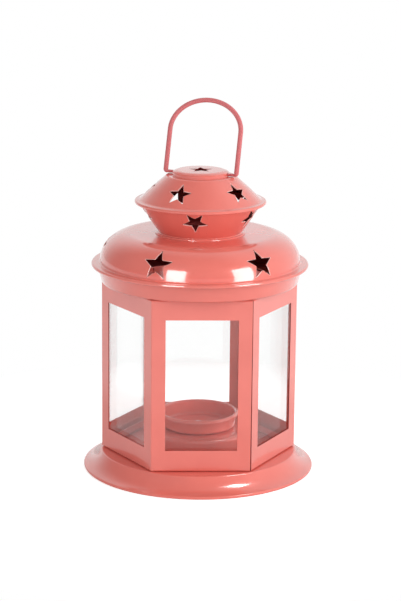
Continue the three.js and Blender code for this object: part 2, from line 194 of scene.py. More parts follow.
# Places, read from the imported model
face_angle = 360 / SIDES
to_corner = 1 / math.cos(math.radians(face_angle / 2))
base_r = top("base_plate", X)
boss_top = top("base_plate")
cup_bottom = bottom("candle_cup")
cup_rim = top("candle_cup")
cup_roll = CUP_ROLL_R - SHEET / 2
cup_r = top("candle_cup", X) - SHEET - 2 * cup_roll
apothem = top("body_frame", Y)
body_bottom = bottom("body_frame")
tab_top = top("body_frame")
seat_z = body_bottom - FIT
body_top = tab_top - 2 * (SHEET + FIT)
corner_r = apothem * to_corner
seat_r = corner_r + SEAT_MARGIN
pane_out = apothem - SHEET - FIT
pane_in = pane_out - GLASS
lip_in = pane_in - FIT - SHEET
collar_bottom = bottom("collar_ring")
eave_z = top("collar_ring") - SHEET / 2
eave_r = top("roof_dome", X)
collar_top_r = eave_r - EAVE_OVERHANG
hem = SHEET / 2 + FIT + SHEET
dome_r = eave_r - EAVE_WIDTH
throat_foot_z = bottom("throat_funnel") + SHEET
roof_top = throat_foot_z - SHEET - FIT
dome_z = roof_top - DOME_H
rim_z = top("throat_funnel") - SHEET / 2
rim_r = top("top_cap", X)
cap_top = top("top_cap")
hinge = next(j for j in frame["record"]["behaviour"]["joints"] if j["name"] == "bail_swing")
pivot_z = hinge["pos_m"][Z] / MM
bail_turn = math.degrees(math.atan2(hinge["axis"][Y], hinge["axis"][X]))
ledge_z = cap_top - CROWN_DROP
brow_r = CROWN_R + CAP_LEDGE
bail_x = brow_r + BAIL_STANDOFF
bail_rise = (top("bail_handle") - WIRE_R - pivot_z) / math.cos(math.radians(BAIL_LEAN))


def on_dome(angle):
    """Radius and height at this angle of the dome's curve."""
    turn = math.radians(angle)
    return dome_r - DOME_W + DOME_W * math.cos(turn), dome_z + DOME_H * math.sin(turn)


def cone_radius(z):
    """The throat's radius at a height."""
    return THROAT_R + (z - throat_foot_z) / math.tan(math.radians(THROAT_SLOPE))


# Outlines

def arc_between(start, corner, end, radius):
    """Points of an arc of this radius that rounds a corner between two straights."""
    back, on = start - corner, end - corner
    turn = math.pi - back.angle(on)
    room = ARC_SHARE * min(back.length, on.length)
    reach = min(radius * math.tan(turn / 2), room)
    radius = reach / math.tan(turn / 2)
    middle = (back.normalized() + on.normalized()).normalized()
    centre = corner + middle * math.hypot(reach, radius)
    first = corner + back.normalized() * reach - centre
    side = 1 if back.cross(on) < 0 else -1
    steps = max(2, math.ceil(math.degrees(turn) / ARC))
    turns = [side * turn * k / steps for k in range(steps + 1)]
    return [centre + Matrix.Rotation(a, 2) @ first for a in turns]


def bent(corners):
    """A path through corners (r, z) or (r, z, bend), each bend an arc of that radius."""
    at = [Vector(corner[:2]) for corner in corners]
    path = []
    for i, corner in enumerate(corners):
        if len(corner) == 2:
            path.append(at[i])
        else:
            path += arc_between(at[i - 1], at[i], at[i + 1], corner[2])
    return path


def sheet(path):
    """The closed outline of a sheet with its outer face on the path and metal on its left."""
    lines = [(b - a).normalized() for a, b in zip(path, path[1:])]
    normals = [Vector((-d.y, d.x)) for d in lines]
    inner = []
    for i, point in enumerate(path):
        a = normals[max(i - 1, 0)]
        b = normals[min(i, len(normals) - 1)]
        inner.append(point + (a + b) * (SHEET / (1 + a.dot(b))))
    return path + inner[::-1]


def rounded(points, radius):
    """A closed outline with each corner rounded."""
    count = len(points)
    path = []
    for i, point in enumerate(points):
        path += arc_between(points[i - 1], point, points[(i + 1) % count], radius)
    return path


def star(outer, up=1):
    """A star that stands on two points, or on one with up at -1."""
    points = []
    for i in range(2 * STAR_POINTS):
        reach = outer * STAR_INNER if i % 2 else outer
        angle = math.pi * i / STAR_POINTS
        points.append(Vector((reach * math.sin(angle), up * reach * math.cos(angle))))
    return rounded(points, STAR_TIP_R)


def panel(width, height):
    x, y = width / 2, height / 2
    return [Vector(p) for p in ((-x, -y), (x, -y), (x, y), (-x, y))]


# Meshes, built in millimetres

def spin(angle):
    return Matrix.Rotation(math.radians(angle), 4, "Z")


def loft(rings, closed=True, kinds=()):
    """A mesh over rings of points that match one to one, each strip with its material."""
    bm = bmesh.new()
    rows = [[bm.verts.new(p) for p in ring] for ring in rings]
    pairs = list(zip(rows, rows[1:] + rows[:1])) if closed else list(zip(rows, rows[1:]))
    for low, high in pairs:
        for i in range(len(low)):
            face = bm.faces.new((low[i - 1], low[i], high[i], high[i - 1]))
            face.material_index = kinds[i] if kinds else PAINTED
    if not closed:
        bm.faces.new(rows[0][::-1])
        bm.faces.new(rows[-1])
    bmesh.ops.recalc_face_normals(bm, faces=bm.faces)
    return bm


def lathe(outline, sides=ROUND, kinds=()):
    """A closed outline turned round the axis; a point at the axis becomes a pole."""
    turns = [spin(360 * k / sides) for k in range(sides)]
    rings = [[turn @ Vector((0, -r, z)) for r, z in outline] for turn in turns]
    bm = loft(rings, kinds=kinds)
    bmesh.ops.remove_doubles(bm, verts=bm.verts, dist=WELD)
    bmesh.ops.recalc_face_normals(bm, faces=bm.faces)
    return bm


def prism(outline, depth, place):
    """An outline in XY driven along Z, half to each side, then placed."""
    ends = [[place @ Vector((x, y, z)) for x, y in outline] for z in (-depth / 2, depth / 2)]
    return loft(ends, closed=False)


def leaf(path, width, turn):
    """A folded strip of sheet, from its path in (distance from the axis, height)."""
    outline = sheet(path)
    ends = [[spin(turn) @ Vector((x, -r, z)) for r, z in outline] for x in (-width / 2, width / 2)]
    return loft(ends, closed=False)


def punch_place(radius, height, tilt, turn):
    """Where a punch stands whose normal rises by tilt from level."""
    lean = Matrix.Rotation(math.radians(90 - tilt), 4, "X")
    return spin(turn) @ Matrix.Translation((0, -radius, height)) @ lean


def ring(count, first=0):
    """The turns of things that stand evenly round the axis."""
    return [first + 360 * i / count for i in range(count)]


def prisms(outline, depth, radius, height, tilt, turns):
    """Prisms of one outline round the axis, set as punches are."""
    return [prism(outline, depth, punch_place(radius, height, tilt, turn)) for turn in turns]


def mesh_of(parts, name):
    """One mesh in metres from several bmeshes."""
    whole = bmesh.new()
    for part in parts:
        piece = bpy.data.meshes.new("part")
        part.to_mesh(piece)
        whole.from_mesh(piece)
        part.free()
        bpy.data.meshes.remove(piece)
    bmesh.ops.scale(whole, vec=(MM, MM, MM), verts=whole.verts)
    mesh = bpy.data.meshes.new(name)
    whole.to_mesh(mesh)
    whole.free()
    return mesh


def cut(mesh, punches, walls=CUT_EDGE):
    """The mesh with punches taken out of it, and one of the coats on the cut walls, by default the
    pale painted highlight.
    """
    target = bpy.data.objects.new("target", mesh)
    tool_mesh = mesh_of(punches, "tool")
    tool = bpy.data.objects.new("tool", tool_mesh)
    for obj, materials in ((target, coats), (tool, (coats[walls],))):
        bpy.context.scene.collection.objects.link(obj)
        if not obj.data.materials:
            for material in materials:
                obj.data.materials.append(material)
    take = target.modifiers.new("take", "BOOLEAN")
    take.operation = "DIFFERENCE"
    take.solver = "EXACT"
    take.material_mode = "TRANSFER"
    take.object = tool
    graph = bpy.context.evaluated_depsgraph_get()
    made = bpy.data.meshes.new_from_object(target.evaluated_get(graph))
    made.name = mesh.name
    bpy.data.objects.remove(target)
    bpy.data.objects.remove(tool)
    bpy.data.meshes.remove(tool_mesh)
    bpy.data.meshes.remove(mesh)
    return made


def join(mesh, parts):
    """Puts more parts beside what the mesh holds."""
    bm = bmesh.new()
    bm.from_mesh(mesh)
    extra = mesh_of(parts, "extra")
    bm.from_mesh(extra)
    bm.to_mesh(mesh)
    bm.free()
    bpy.data.meshes.remove(extra)


def round_cuts(mesh):
    """Rounds the edges where cut walls meet the sheet's outer face, and gives the rounding the pale
    coat, a painted highlight.
    """
    bm = bmesh.new()
    bm.from_mesh(mesh)
    edges = [e for e in bm.edges if {f.material_index for f in e.link_faces} == {PAINTED, CUT_EDGE}]
    bmesh.ops.bevel(
        bm, geom=edges, offset=EDGE_ROUND * MM, offset_type="OFFSET", segments=BEVEL_STEPS,
        profile=0.5, affect="EDGES", clamp_overlap=False, material=CUT_EDGE,
    )
    bm.to_mesh(mesh)
    bm.free()


def smooth(mesh):
    mesh.polygons.foreach_set("use_smooth", [True] * len(mesh.polygons))
    mesh.set_sharp_from_angle(angle=math.radians(SMOOTH))


def numbers(items, field, width):
    """One field of many mesh items as rows of numbers."""
    flat = np.empty(len(items) * width, dtype=np.float64)
    items.foreach_get(field, flat)
    return flat.reshape(-1, width)


def unit_rows(rows):
    """Rows of numbers, each scaled to length 1."""
    return rows / np.maximum(np.linalg.norm(rows, axis=1), TINY)[:, None]


def turned_normals(mesh, outline):
    """Sets the true normals of the turned surface on every face that still lies on it."""
    # The outline's lines, with the normals at their two ends
    ends = np.array([tuple(p) for p in outline])
    along = np.roll(ends, -1, axis=0) - ends
    length = np.maximum(np.linalg.norm(along, axis=1), TINY)
    unit = along / length[:, None]
    normal = np.stack([unit[:, 1], -unit[:, 0]], axis=1)
    before, after = np.roll(normal, 1, axis=0), np.roll(normal, -1, axis=0)
    joined = (normal * before).sum(1) > math.cos(math.radians(SMOOTH))
    first = unit_rows(np.where(joined[:, None], normal + before, normal))
    last = unit_rows(np.where(np.roll(joined, -1)[:, None], normal + after, normal))

    # The line that each face lies on
    centre = numbers(mesh.polygons, "center", 3) / MM
    facing = numbers(mesh.polygons, "normal", 3)
    radius = np.hypot(centre[:, X], centre[:, Y])
    across = facing[:, X] * centre[:, X] + facing[:, Y] * centre[:, Y]
    spot = np.stack([radius, centre[:, Z]], axis=1)
    flat = np.stack([across / np.maximum(radius, TINY), facing[:, Z]], axis=1)
    nearest = np.zeros(len(spot), dtype=int)
    best = np.full(len(spot), np.inf)
    for i in range(len(ends)):
        step = spot - ends[i]
        share = np.clip(step @ unit[i], 0, length[i])
        gap = np.linalg.norm(step - share[:, None] * unit[i], axis=1)
        score = gap + FACING_WEIGHT * (1 - flat @ normal[i])
        better = score < best
        best[better] = score[better]
        nearest[better] = i

    # The normal at each corner of each face
    loops = np.empty(len(mesh.loops), dtype=np.int64)
    mesh.loops.foreach_get("vertex_index", loops)
    totals = np.empty(len(mesh.polygons), dtype=np.int64)
    mesh.polygons.foreach_get("loop_total", totals)
    owner = np.repeat(np.arange(len(totals)), totals)
    at = numbers(mesh.vertices, "co", 3)[loops] / MM
    r = np.maximum(np.hypot(at[:, X], at[:, Y]), TINY)
    i = nearest[owner]
    share = (np.stack([r, at[:, Z]], axis=1) - ends[i]) * unit[i]
    t = np.clip(share.sum(1) / length[i], 0, 1)[:, None]
    n = (1 - t) * first[i] + t * last[i]
    turned = unit_rows(np.stack([n[:, 0] * at[:, X] / r, n[:, 0] * at[:, Y] / r, n[:, 1]], axis=1))
    turned[best[owner] > ON_SURFACE] = 0
    mesh.normals_split_custom_set(turned.tolist())


def piece(name, mesh, materials, body, slot, node):
    """Puts a finished mesh in the scene in place of a CAD node."""
    obj = bpy.data.objects.new(name, mesh)
    bpy.context.scene.collection.objects.link(obj)
    if not mesh.materials:
        for material in materials:
            mesh.materials.append(material)
    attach(obj, body)
    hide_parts(node)
    return obj


def shell(name, path, punches, body, node, extra=(), inner=PAINTED, plain=()):
    """A turned sheet piece with rounded holes, plain holes and any lugs that stand on it."""
    outline = sheet(path)
    strips = len(path) - 1
    # The inner face takes the inner coat; with INSIDE that is the dark painted shade
    kinds = [PAINTED] * (strips + 2) + [inner] * strips
    mesh = mesh_of([lathe(outline, kinds=kinds)], name)
    if punches:
        mesh = cut(mesh, punches)
        round_cuts(mesh)
    if plain:
        mesh = cut(mesh, plain, inner)
    if extra:
        join(mesh, extra)
    smooth(mesh)
    turned_normals(mesh, outline)
    piece(name, mesh, coats, body, "paint", node)


# Materials

CORAL_DEEP = (0.79, 0.168, 0.132)
CORAL_PALE = (0.84, 0.186, 0.147)
ROSE_DEEP = (0.62, 0.145, 0.152)
ROSE_PALE = (0.68, 0.165, 0.172)
# Pale coat for cut walls and rounded hole edges: a painted highlight where the edges catch light
CUT_EDGE_HIGHLIGHT_DEEP = (0.86, 0.40, 0.36)
CUT_EDGE_HIGHLIGHT_PALE = (0.92, 0.52, 0.48)
# Dark coat for the inside of the shells and some cut walls: painted shade
INSIDE_SHADE_DEEP = (0.20, 0.020, 0.018)
INSIDE_SHADE_PALE = (0.28, 0.032, 0.028)
GLASS_CLEAN = (0.985, 0.995, 0.99)
GLASS_DUSTY = (0.96, 0.97, 0.965)
STEEL_DEEP = (0.42, 0.40, 0.38)
STEEL_PALE = (0.60, 0.58, 0.56)


def tree_of(name):
    """A new material with its node tree and its shader."""
    material = bpy.data.materials.new(name)
    material.use_nodes = True
    tree = material.node_tree
    return material, tree, tree.nodes["Principled BSDF"]


def set_sockets(node, values):
    for socket, value in values.items():
        node.inputs[socket].default_value = value


def noise(tree, scale, detail=2.0):
    """Noise in the piece's own coordinates, with features about 1/scale metres wide."""
    place = tree.nodes.new("ShaderNodeTexCoord")
    texture = tree.nodes.new("ShaderNodeTexNoise")
    set_sockets(texture, {"Scale": scale, "Detail": detail})
    tree.links.new(place.outputs["Object"], texture.inputs["Vector"])
    return texture.outputs["Fac"]


def spread(tree, value, low, high, start=0.3, end=0.7):
    """Maps a value from the range start to end to the range low to high."""
    ramp = tree.nodes.new("ShaderNodeMapRange")
    set_sockets(ramp, {"From Min": start, "From Max": end, "To Min": low, "To Max": high})
    tree.links.new(value, ramp.inputs["Value"])
    return ramp.outputs["Result"]


def blend_colours(tree, factor, first, second):
    mix = tree.nodes.new("ShaderNodeMix")
    mix.data_type = "RGBA"
    set_sockets(mix, {"A": (*first, 1), "B": (*second, 1)})
    tree.links.new(factor, mix.inputs["Factor"])
    return mix.outputs["Result"]


def combine(tree, operation, first, second):
    """One value from two, by a maths operation."""
    node = tree.nodes.new("ShaderNodeMath")
    node.operation = operation
    tree.links.new(first, node.inputs[0])
    tree.links.new(second, node.inputs[1])
    return node.outputs[0]


def bump(tree, shader, height, strength, depth):
    node = tree.nodes.new("ShaderNodeBump")
    set_sockets(node, {"Strength": strength, "Distance": depth * MM})
    tree.links.new(height, node.inputs["Height"])
    tree.links.new(node.outputs["Normal"], shader.inputs["Normal"])


def make_paint(name, deep, pale, gloss=1.0, dull=(0.16, 0.26)):
    """Enamel with fine orange peel and clouding."""
    material, tree, shader = tree_of(name)
    cloud = spread(tree, noise(tree, scale=45, detail=4), 0, 1)
    tree.links.new(blend_colours(tree, cloud, deep, pale), shader.inputs["Base Color"])
    rough = spread(tree, noise(tree, scale=160, detail=3), *dull)
    tree.links.new(rough, shader.inputs["Roughness"])
    set_sockets(shader, {"Coat Weight": gloss, "Coat Roughness": 0.05, "Coat IOR": 1.5})
    bump(tree, shader, noise(tree, scale=700), strength=0.15 * gloss, depth=0.05)
    return material


def make_inside_shade():
    """Painted shade: a dark dull coat on the inside of the pierced shells and on some cut walls,
    where shade falls.
    """
    material, tree, shader = tree_of("inside_painted_shade")
    cloud = spread(tree, noise(tree, scale=120, detail=4), 0, 1)
    colours = blend_colours(tree, cloud, INSIDE_SHADE_DEEP, INSIDE_SHADE_PALE)
    tree.links.new(colours, shader.inputs["Base Color"])
    rough = spread(tree, noise(tree, scale=300, detail=3), low=0.5, high=0.7)
    tree.links.new(rough, shader.inputs["Roughness"])
    set_sockets(shader, {"Specular IOR Level": 0.2})
    bump(tree, shader, noise(tree, scale=1200, detail=3), strength=0.2, depth=0.05)
    return material


def make_glass():
    """Thin window glass that hardly bends the view, with more gloss at a slant and some dust."""
    material, tree, shader = tree_of("window_glass")
    smear = noise(tree, scale=60, detail=5)
    dust = spread(tree, smear, 0, 1, start=0.45, end=0.75)
    tint = blend_colours(tree, dust, GLASS_CLEAN, GLASS_DUSTY)
    tree.links.new(tint, shader.inputs["Base Color"])
    rough = spread(tree, smear, low=0.0, high=0.03, start=0.5, end=0.75)
    tree.links.new(rough, shader.inputs["Roughness"])
    slant = tree.nodes.new("ShaderNodeLayerWeight")
    gloss = spread(tree, slant.outputs["Facing"], low=0.36, high=1, start=0.05, end=0.5)
    tree.links.new(gloss, shader.inputs["Coat Weight"])
    set_sockets(shader, {"Coat Roughness": 0.01, "Coat IOR": 4.0})
    set_sockets(shader, {"Transmission Weight": 1.0, "IOR": 1.01, "Alpha": 0.3})
    return material


def make_steel():
    """Satin steel with a fine grain."""
    material, tree, shader = tree_of("rivet_steel")
    shade = spread(tree, noise(tree, scale=900, detail=3), 0, 1)
    colours = blend_colours(tree, shade, STEEL_DEEP, STEEL_PALE)
    tree.links.new(colours, shader.inputs["Base Color"])
    set_sockets(shader, {"Metallic": 1.0})
    rough = spread(tree, noise(tree, scale=1500), low=0.25, high=0.45)
    tree.links.new(rough, shader.inputs["Roughness"])
    bump(tree, shader, noise(tree, scale=2500), strength=0.1, depth=0.02)
    return material


# Coats: coral paint, a pale painted highlight on cut edges, and dark painted shade inside
coats = (
    make_paint("coral_paint", CORAL_DEEP, CORAL_PALE),
    make_paint("cut_edge_painted_highlight", CUT_EDGE_HIGHLIGHT_DEEP, CUT_EDGE_HIGHLIGHT_PALE),
    make_inside_shade(),
)
wire_coat = make_paint("rose_paint_on_wire", ROSE_DEEP, ROSE_PALE, gloss=0.4, dull=(0.32, 0.42))
glass = make_glass()
steel = make_steel()


# Base: hemmed rim, coved flare, flat seat, candle boss and three lanced lugs

def make_base():
    steep, flat = math.radians(COVE_STEEP), math.radians(COVE_FLAT)
    drop, flare = seat_z - RIM_H, base_r - seat_r
    run = (drop * math.cos(flat) - flare * math.sin(flat)) / math.sin(steep - flat)
    boss_r = cup_r + BOSS_LEDGE
    path = bent([
        (base_r - RIM_HEM_R - FOOT_WIDTH, 0),
        (base_r, 0, RIM_HEM_R),
        (base_r, RIM_H, RIM_HEM_R),
        (seat_r + run * math.cos(steep), seat_z - run * math.sin(steep), COVE_R),
        (seat_r, seat_z, SEAT_EDGE_R),
        (boss_r + BOSS_DRAFT, seat_z, BOSS_FOOT_R),
        (boss_r, boss_top, BOSS_SHOULDER_R),
        (RIVET_R + FIT, boss_top),
    ])
    turns = ring(LUG_COUNT, face_angle)
    lug_out = lip_in - FIT
    slot = panel(LUG_WIDTH + 2 * SHEET, LUG_H)
    slots = prisms(slot, STROKE, lug_out - SHEET - LUG_H / 2, seat_z, 90, turns)
    lug = panel(LUG_WIDTH, LUG_H + SHEET / 2)
    lug = [lug[0], lug[1], *arc_between(lug[1], lug[2], lug[3], LUG_CORNER),
           *arc_between(lug[2], lug[3], lug[0], LUG_CORNER)]
    lugs = prisms(lug, SHEET, lug_out - SHEET / 2, seat_z + LUG_H / 2 - SHEET / 4, 0, turns)
    shell("base_saucer", path, slots, "base", "base_plate", lugs)


def make_cup():
    path = bent([
        (RIVET_R + FIT, cup_bottom),
        (cup_r, cup_bottom, CUP_CORNER),
        (cup_r, cup_rim - SHEET, cup_roll),
        (cup_r + 2 * cup_roll, cup_rim - SHEET, cup_roll),
        (cup_r + 2 * cup_roll, cup_rim - SHEET - 2 * cup_roll),
    ])
    shell("tealight_cup", path, [], "base", "candle_cup")


def make_rivet():
    low = boss_top - SHEET - FIT
    high = cup_bottom + SHEET + FIT
    outline = bent([
        (0, low - RIVET_HEAD_H),
        (RIVET_HEAD_R, low - RIVET_HEAD_H, RIVET_HEAD_H / 2),
        (RIVET_HEAD_R, low),
        (RIVET_R, low),
        (RIVET_R, high),
        (RIVET_HEAD_R, high),
        (RIVET_HEAD_R, high + RIVET_HEAD_H, RIVET_HEAD_H / 2),
        (0, high + RIVET_HEAD_H),
    ])
    mesh = mesh_of([lathe(outline, ROUND_SMALL)], "rivet")
    smooth(mesh)
    piece("rivet", mesh, (steel,), "base", "rivet", "cup_rivet")


# Body: a strip folded to a hexagon, with glass channels, windows, a soldered seam and tabs

def hexagon(reach, fold, z):
    """A hexagon with this distance to its faces and its corners rounded."""
    points = []
    for k in range(SIDES):
        centre = spin(face_angle * (k + 0.5)) @ Vector((0, -(reach - fold) * to_corner, z))
        for step in range(FOLD_STEPS + 1):
            turn = face_angle * (k + step / FOLD_STEPS)
            points.append(centre + spin(turn) @ Vector((0, -fold, 0)))
    return points


def make_body():
    outline = sheet(bent([
        (lip_in, body_bottom + LIP_H),
        (lip_in, body_bottom, FOLD_R),
        (apothem, body_bottom, FOLD_R),
        (apothem, body_top, FOLD_R),
        (lip_in, body_top, FOLD_R),
        (lip_in, body_top - LIP_H),
    ]))
    strip = loft([hexagon(a, max(FOLD_LEAST, FOLD_R - (apothem - a)), z) for a, z in outline])

    window_z = body_bottom + SILL_H + WINDOW_H / 2
    windows = prisms(panel(WINDOW_W, WINDOW_H), STROKE, apothem, window_z, 0, ring(SIDES))

    half = (body_top - body_bottom) / 2
    past = half + SHEET
    wide, slim = SEAM_BOTTOM / 2, SEAM_TOP / 2
    seam = [Vector(p) for p in ((-wide, -past), (wide, -past), (slim, past), (-slim, past))]
    fold_r = corner_r - FOLD_R * (to_corner - 1)
    seam_place = punch_place(fold_r + SEAM_FILL, body_bottom + half, 0, face_angle / 2)
    seam_cut = prism(seam, 2 * SHEET, seam_place)

    flange_w = (apothem - SHEET - lip_in) * to_corner
    flange_r = lip_in * to_corner + flange_w / 2 - SHEET
    notch = panel(NOTCH_W, LIP_H + SHEET)
    corners = ring(SIDES, face_angle / 2)
    notches = []
    for z in (body_bottom + LIP_H / 2, body_top - LIP_H / 2):
        notches += prisms(notch, flange_w, flange_r, z, 0, corners)

    out = apothem - TAB_INSET
    tab_path = bent([
        (out, body_top - LIP_H),
        (out, tab_top, FOLD_R),
        (out - TAB_LEAF, tab_top),
    ])
    tabs = [leaf(tab_path, TAB_W, turn) for turn in ring(SIDES)]

    # The window jambs, the seam groove and the notches take the dark coat, a painted shade
    mesh = cut(mesh_of([strip], "hex_frame"), windows + [seam_cut] + notches, INSIDE)
    join(mesh, tabs)
    smooth(mesh)
    obj = piece("hex_frame", mesh, coats, "upper", "paint", "body_frame")
    even = obj.modifiers.new("even_faces", "WEIGHTED_NORMAL")
    even.keep_sharp = True


def make_panes():
    width = 2 * (pane_in * math.tan(math.radians(face_angle / 2)) - FIT)
    height = body_top - body_bottom - 2 * (SHEET + FIT)
    middle = (body_bottom + body_top) / 2
    panes = prisms(
        panel(width, height), GLASS, (pane_in + pane_out) / 2, middle, 0, ring(SIDES))
    for i, pane in enumerate(panes, 1):
        bmesh.ops.bevel(
            pane, geom=pane.edges[:], offset=PANE_ARRIS, segments=BEVEL_STEPS, affect="EDGES")
        mesh = mesh_of([pane], f"pane_{i}")
        obj = piece(f"pane_{i}", mesh, (glass,), "upper", "glass", f"glass_pane_{i}")
        obj.visible_shadow = False  # clear glass lets the lamps light the cup


# Collar, roof, throat and cap: turned shells that close round each other's flanges

def make_collar():
    flange_z = eave_z - SHEET / 2
    path = bent([
        (apothem - TAB_LEAF - COLLAR_LAND, collar_bottom),
        (collar_top_r - COLLAR_FLARE, collar_bottom, COLLAR_CORNER),
        (collar_top_r, flange_z, FOLD_R),
        (eave_r - hem, flange_z),
    ])
    slot = panel(TAB_W + 2 * FIT, SHEET + 2 * FIT)
    slots = prisms(slot, STROKE, apothem - SHEET / 2, collar_bottom, 90, ring(SIDES))
    shell("collar", path, slots, "upper", "collar_ring", inner=INSIDE)


def make_roof():
    angles = [DOME_START + (90 - DOME_START) * k / DOME_STEPS for k in range(DOME_STEPS + 1)]
    spring_r, _ = on_dome(DOME_START)
    rise, run = math.sin(math.radians(THROAT_SLOPE)), math.cos(math.radians(THROAT_SLOPE))
    neck_r = cone_radius(throat_foot_z + THROAT_FILLET) - SHEET - FIT
    aside = (SHEET + FIT) / rise
    bell_z = throat_foot_z + (neck_r + aside - THROAT_R) * rise / run
    path = bent([
        (collar_top_r + FIT, eave_z - hem),
        (eave_r, eave_z - hem, hem),
        (eave_r, eave_z + hem, hem),
        (spring_r, eave_z + hem, EAVE_FILLET),
        *[on_dome(angle) for angle in angles],
        (neck_r, roof_top, NECK_BEND),
        (neck_r, bell_z, NECK_BEND),
        (neck_r + NECK_HOLD * run, bell_z + NECK_HOLD * rise),
    ])
    place = (*on_dome(ROOF_STAR_AT), ROOF_STAR_AT)
    stars = prisms(star(ROOF_STAR_R), DOME_H, *place, ROOF_STAR_TURNS)
    shell("dome_roof", path, stars, "upper", "roof_dome", inner=INSIDE)


def make_throat():
    flange_z = rim_z - SHEET / 2
    path = bent([
        (THROAT_R + THROAT_FOOT, roof_top + SEATED),
        (THROAT_R + THROAT_FOOT, throat_foot_z, THROAT_FILLET),
        (THROAT_R, throat_foot_z, THROAT_FILLET),
        (cone_radius(flange_z), flange_z, THROAT_BEND),
        (rim_r - hem, flange_z),
    ])
    star_z = rim_z - THROAT_STAR_DROP
    place = (cone_radius(star_z), star_z, THROAT_SLOPE - 90)
    stars = prisms(star(THROAT_STAR_R, up=-1), 4 * THROAT_STAR_R, *place, THROAT_STAR_TURNS)
    shell("throat", path, stars, "upper", "throat_funnel", inner=INSIDE)


def make_cap():
    edge = Vector((rim_r - CAP_RIM_W, rim_z + hem))
    brow = Vector((brow_r, ledge_z - CAP_LEDGE_FALL))
    slope = math.atan2(brow.y - edge.y, edge.x - brow.x)
    belly = (edge + brow) / 2 + CAP_BELLY * Vector((math.sin(slope), math.cos(slope)))
    shoulder_r = CROWN_R - CROWN_DRAFT
    path = bent([
        (cone_radius(rim_z) + FIT, rim_z - hem),
        (rim_r, rim_z - hem, hem),
        (rim_r, rim_z + hem, hem),
        (*edge, CAP_RIM_FILLET),
        (*belly, CAP_BELLY_BEND),
        (*brow, CAP_BROW_BEND),
        (CROWN_R, ledge_z, CROWN_FILLET),
        (shoulder_r, cap_top - CROWN_SLOPE_H, FOLD_R),
        (shoulder_r - CROWN_SLOPE_W, cap_top, CROWN_BEND),
        (CROWN_EYE, cap_top),
    ])
    place = (*belly, 90 - math.degrees(slope))
    stars = prisms(star(CAP_STAR_R), 2 * CAP_STAR_R, *place, CAP_STAR_TURNS)
    crown_star = prism(star(CROWN_STAR_R), CROWN_DROP, punch_place(0, cap_top, 90, 0))
    hole_r = BAIL_FOOT_R + SWIVEL_FIT
    circle = [spin(360 * k / ROUND_SMALL) @ Vector((hole_r, 0, 0)) for k in range(ROUND_SMALL)]
    across = Matrix.Rotation(math.radians(90), 4, "Y")
    bore_place = Matrix.Translation((0, 0, pivot_z)) @ spin(bail_turn) @ across
    bore = prism([(p.x, p.y) for p in circle], 2 * bail_x, bore_place)
    # The crown's star and the bore take the dark coat on their walls, a painted shade
    shell("star_cap", path, stars, "upper", "top_cap", inner=INSIDE, plain=[crown_star, bore])


# Bail: one round wire bent in a plane, its feet drawn down thin

def make_bail():
    bend = BAIL_ELBOW_R
    leg_z = bail_rise - BAIL_BOW_H

    def curve(x, z, across, up, start, end):
        """Points of a part of an ellipse, about a wire step apart."""
        steps = max(ELBOW_STEPS, math.ceil(math.radians(end - start) * max(across, up) / WIRE_STEP))
        turns = [math.radians(start + (end - start) * k / steps) for k in range(steps + 1)]
        return [Vector((x + across * math.cos(a), z + up * math.sin(a))) for a in turns]

    def thickness(point):
        """The wire's radius, thin inside the brow and full at the leg."""
        if point.y > bend:
            return WIRE_R
        share = min(max((abs(point.x) - brow_r) / (bail_x - brow_r), 0), 1)
        return BAIL_FOOT_R + (WIRE_R - BAIL_FOOT_R) * share

    half = [Vector((CROWN_R - BAIL_FOOT, 0))]
    half += curve(bail_x - bend, bend, bend, bend, -90, 0)
    steps = math.ceil((leg_z - bend) / WIRE_STEP)
    half += [Vector((bail_x, bend + (leg_z - bend) * k / steps)) for k in range(1, steps)]
    half += curve(0, leg_z, bail_x, BAIL_BOW_H, 0, 90)
    line = half + [Vector((-p.x, p.y)) for p in half[-2::-1]]

    stand = Matrix.Rotation(math.radians(BAIL_LEAN), 4, "X")
    place = Matrix.Translation((0, 0, pivot_z)) @ spin(bail_turn) @ stand
    rings = []
    for i, point in enumerate(line):
        on = (line[min(i + 1, len(line) - 1)] - line[max(i - 1, 0)]).normalized()
        out = Vector((on.y, 0, -on.x))
        thick = thickness(point)
        circle = []
        for k in range(WIRE_SIDES):
            turn = 2 * math.pi * k / WIRE_SIDES
            spoke = out * math.cos(turn) + Vector((0, 1, 0)) * math.sin(turn)
            circle.append(place @ (Vector((point.x, 0, point.y)) + spoke * thick))
        rings.append(circle)
    mesh = mesh_of([loft(rings, closed=False)], "bail_wire")
    smooth(mesh)
    piece("bail_wire", mesh, (wire_coat,), "bail", "paint", "bail_handle")


make_base()
make_cup()
make_rivet()
make_body()
make_panes()
make_collar()
make_roof()
make_throat()
make_cap()
make_bail()


# Camera, at the photograph's place

CAMERA_AT = (-39.35, -1130.1, 369.6)
CAMERA_YAW = 2.022
CAMERA_PITCH = 13.628
CAMERA_ROLL = 0.562
CAMERA_LENS = 124.27
CAMERA_FILM = 36  # height of the film


def make_camera():
    data = bpy.data.cameras.new("camera")
    data.sensor_fit = "VERTICAL"
    data.sensor_height = CAMERA_FILM
    data.lens = CAMERA_LENS
    camera = bpy.data.objects.new("camera", data)
    bpy.context.scene.collection.objects.link(camera)
    turn = spin(-CAMERA_YAW)
    tip = Matrix.Rotation(math.radians(90 - CAMERA_PITCH), 4, "X")
    roll = Matrix.Rotation(math.radians(CAMERA_ROLL), 4, "Z")
    camera.matrix_world = Matrix.Translation(Vector(CAMERA_AT) * MM) @ turn @ tip @ roll
    bpy.context.scene.camera = camera


# Studio: pale floor, white surroundings, four soft fills and three small boxes for highlights

WHITE = (1, 1, 1, 1)
LOOKS = ("Is Camera Ray", "Is Transmission Ray")
GLANCES = (*LOOKS, "Is Glossy Ray")

